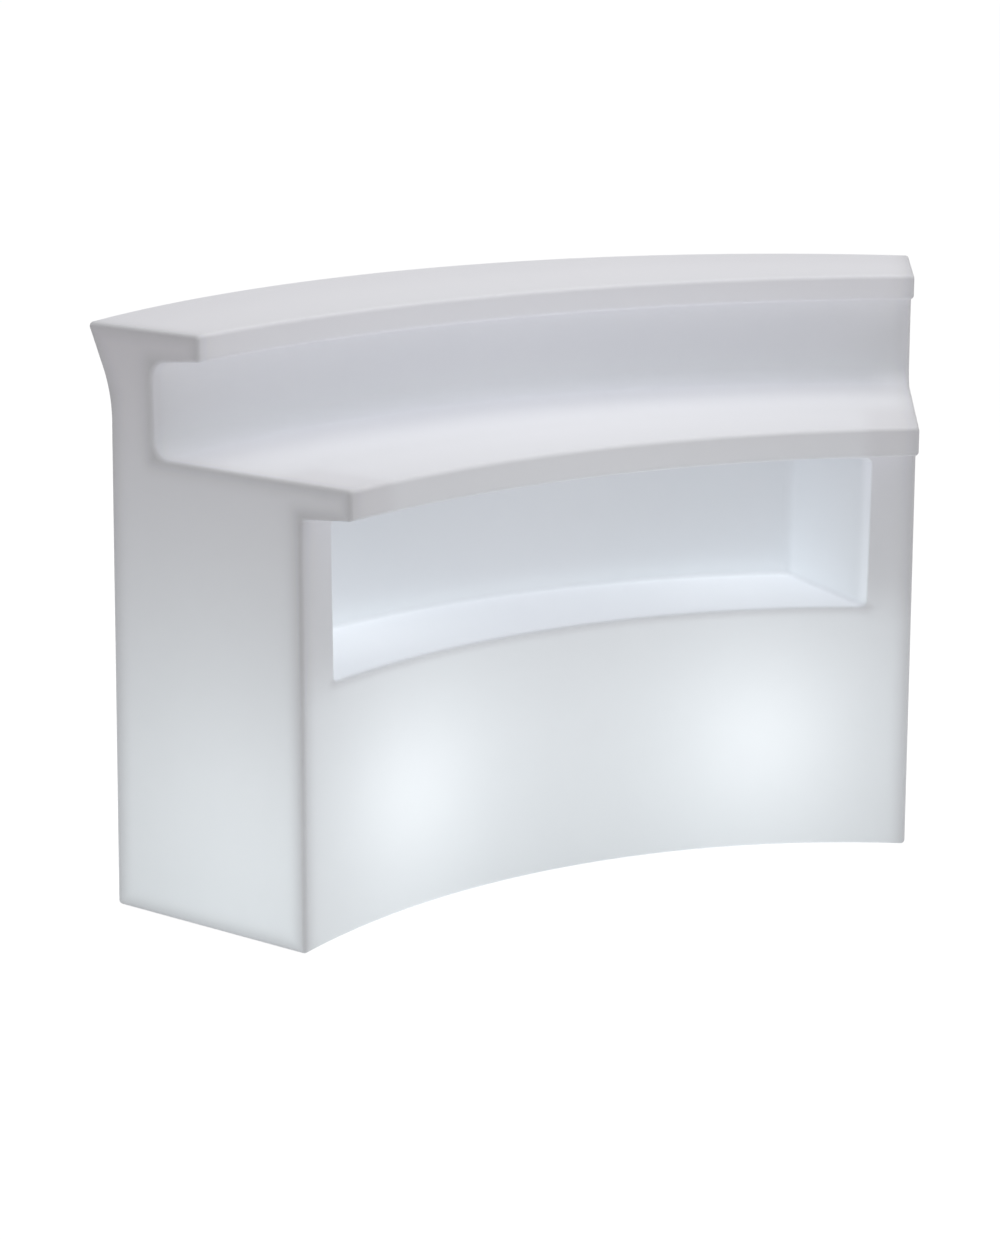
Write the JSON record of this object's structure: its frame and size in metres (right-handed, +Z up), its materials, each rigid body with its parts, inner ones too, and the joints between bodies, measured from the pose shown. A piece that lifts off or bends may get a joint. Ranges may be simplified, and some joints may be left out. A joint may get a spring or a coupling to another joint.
{
  "type": "bar counter",
  "caption": "Curved hollow moulded bar counter, lit from inside, with an overhanging guest shelf, a lower work surface, a wide niche, levelling feet and lamp hatches in its base.",
  "frame": {"origin": "centre of the counter's bounding box, on the floor", "axes": "+Z up, +Y from the bartender to the guests, +X along the counter to the bartender's right"},
  "size_m": [1.7249, 0.7747, 1.1],
  "materials": {
    "polyethylene": "white translucent rotationally moulded polyethylene, satin, lit from inside",
    "insert_brass": "turned brass",
    "zinc_plated_steel": "zinc plated",
    "pad_nylon": "moulded black nylon",
    "sole_rubber": "soft black rubber",
    "gasket_rubber": "flat rubber sheet",
    "hatch_plastic": "moulded light grey plastic",
    "gland_plastic": "moulded black nylon",
    "holder_plastic": "moulded white lamp holder",
    "contact_brass": "bright brass",
    "cap_aluminium": "bright aluminium",
    "bulb_plastic": "white housing",
    "opal": "opal diffuser"
  },
  "bodies": {
    "counter": {"counter_body": "polyethylene", "foot_inserts": "insert_brass", "hatch_inserts": "insert_brass"},
    "left_inner_foot": {"left_inner_foot_pad": "pad_nylon", "left_inner_foot_sole": "sole_rubber"},
    "left_inner_stem": {"left_inner_foot_stem": "zinc_plated_steel"},
    "left_outer_foot": {"left_outer_foot_pad": "pad_nylon", "left_outer_foot_sole": "sole_rubber"},
    "left_outer_stem": {"left_outer_foot_stem": "zinc_plated_steel"},
    "middle_inner_foot": {"middle_inner_foot_pad": "pad_nylon", "middle_inner_foot_sole": "sole_rubber"},
    "middle_inner_stem": {"middle_inner_foot_stem": "zinc_plated_steel"},
    "middle_outer_foot": {"middle_outer_foot_pad": "pad_nylon", "middle_outer_foot_sole": "sole_rubber"},
    "middle_outer_stem": {"middle_outer_foot_stem": "zinc_plated_steel"},
    "right_inner_foot": {"right_inner_foot_pad": "pad_nylon", "right_inner_foot_sole": "sole_rubber"},
    "right_inner_stem": {"right_inner_foot_stem": "zinc_plated_steel"},
    "right_outer_foot": {"right_outer_foot_pad": "pad_nylon", "right_outer_foot_sole": "sole_rubber"},
    "right_outer_stem": {"right_outer_foot_stem": "zinc_plated_steel"},
    "left_hatch": {"left_hatch_plate": "hatch_plastic", "left_hatch_gasket": "gasket_rubber", "left_hatch_screws": "zinc_plated_steel", "left_gland_body": "gland_plastic", "left_gland_seal": "gasket_rubber", "left_gland_nut": "gland_plastic", "left_gland_locknut": "gland_plastic", "left_holder_base": "holder_plastic", "left_holder_ring": "holder_plastic", "left_holder_contacts": "contact_brass", "left_holder_screws": "zinc_plated_steel"},
    "left_bulb": {"left_bulb_cap": "cap_aluminium", "left_bulb_body": "bulb_plastic", "left_bulb_globe": "opal"},
    "right_hatch": {"right_hatch_plate": "hatch_plastic", "right_hatch_gasket": "gasket_rubber", "right_hatch_screws": "zinc_plated_steel", "right_gland_body": "gland_plastic", "right_gland_seal": "gasket_rubber", "right_gland_nut": "gland_plastic", "right_gland_locknut": "gland_plastic", "right_holder_base": "holder_plastic", "right_holder_ring": "holder_plastic", "right_holder_contacts": "contact_brass", "right_holder_screws": "zinc_plated_steel"},
    "right_bulb": {"right_bulb_cap": "cap_aluminium", "right_bulb_body": "bulb_plastic", "right_bulb_globe": "opal"}
  },
  "joints": [
    {"name": "left_inner_foot_lift", "type": "slide", "parent": "counter", "child": "left_inner_foot", "axis": [0, 0, -1], "range_m": [0, 0.012]},
    {"name": "left_inner_foot_turn", "type": "hinge", "parent": "left_inner_foot", "child": "left_inner_stem", "pos_m": [-0.58928, -0.20816, 0.015], "axis": [0, 0, -1], "range_deg": [0, 2880]},
    {"name": "left_outer_foot_lift", "type": "slide", "parent": "counter", "child": "left_outer_foot", "axis": [0, 0, -1], "range_m": [0, 0.012]},
    {"name": "left_outer_foot_turn", "type": "hinge", "parent": "left_outer_foot", "child": "left_outer_stem", "pos_m": [-0.73955, 0.08677, 0.015], "axis": [0, 0, -1], "range_deg": [0, 2880]},
    {"name": "middle_inner_foot_lift", "type": "slide", "parent": "counter", "child": "middle_inner_foot", "axis": [0, 0, -1], "range_m": [0, 0.012]},
    {"name": "middle_inner_foot_turn", "type": "hinge", "parent": "middle_inner_foot", "child": "middle_inner_stem", "pos_m": [0, -0.06668, 0.015], "axis": [0, 0, -1], "range_deg": [0, 2880]},
    {"name": "middle_outer_foot_lift", "type": "slide", "parent": "counter", "child": "middle_outer_foot", "axis": [0, 0, -1], "range_m": [0, 0.012]},
    {"name": "middle_outer_foot_turn", "type": "hinge", "parent": "middle_outer_foot", "child": "middle_outer_stem", "pos_m": [0, 0.30177, 0.015], "axis": [0, 0, -1], "range_deg": [0, 2880]},
    {"name": "right_inner_foot_lift", "type": "slide", "parent": "counter", "child": "right_inner_foot", "axis": [0, 0, -1], "range_m": [0, 0.012]},
    {"name": "right_inner_foot_turn", "type": "hinge", "parent": "right_inner_foot", "child": "right_inner_stem", "pos_m": [0.58928, -0.20816, 0.015], "axis": [0, 0, -1], "range_deg": [0, 2880]},
    {"name": "right_outer_foot_lift", "type": "slide", "parent": "counter", "child": "right_outer_foot", "axis": [0, 0, -1], "range_m": [0, 0.012]},
    {"name": "right_outer_foot_turn", "type": "hinge", "parent": "right_outer_foot", "child": "right_outer_stem", "pos_m": [0.73955, 0.08677, 0.015], "axis": [0, 0, -1], "range_deg": [0, 2880]},
    {"name": "left_hatch_slide", "type": "slide", "parent": "counter", "child": "left_hatch", "axis": [0, 0, -1], "range_m": [0, 0.27]},
    {"name": "left_bulb_turn", "type": "hinge", "parent": "left_hatch", "child": "left_bulb", "pos_m": [-0.43027, -0.00829, 0.176], "axis": [0, 0, 1], "range_deg": [0, 1080]},
    {"name": "right_hatch_slide", "type": "slide", "parent": "counter", "child": "right_hatch", "axis": [0, 0, -1], "range_m": [0, 0.27]},
    {"name": "right_bulb_turn", "type": "hinge", "parent": "right_hatch", "child": "right_bulb", "pos_m": [0.43027, -0.00829, 0.176], "axis": [0, 0, 1], "range_deg": [0, 1080]}
  ],
  "couplings": [
    {"joint": "left_inner_foot_turn", "follows": "left_inner_foot_lift", "rad_per_m": 4188.8},
    {"joint": "left_outer_foot_turn", "follows": "left_outer_foot_lift", "rad_per_m": 4188.8},
    {"joint": "middle_inner_foot_turn", "follows": "middle_inner_foot_lift", "rad_per_m": 4188.8},
    {"joint": "middle_outer_foot_turn", "follows": "middle_outer_foot_lift", "rad_per_m": 4188.8},
    {"joint": "right_inner_foot_turn", "follows": "right_inner_foot_lift", "rad_per_m": 4188.8},
    {"joint": "right_outer_foot_turn", "follows": "right_outer_foot_lift", "rad_per_m": 4188.8}
  ]
}
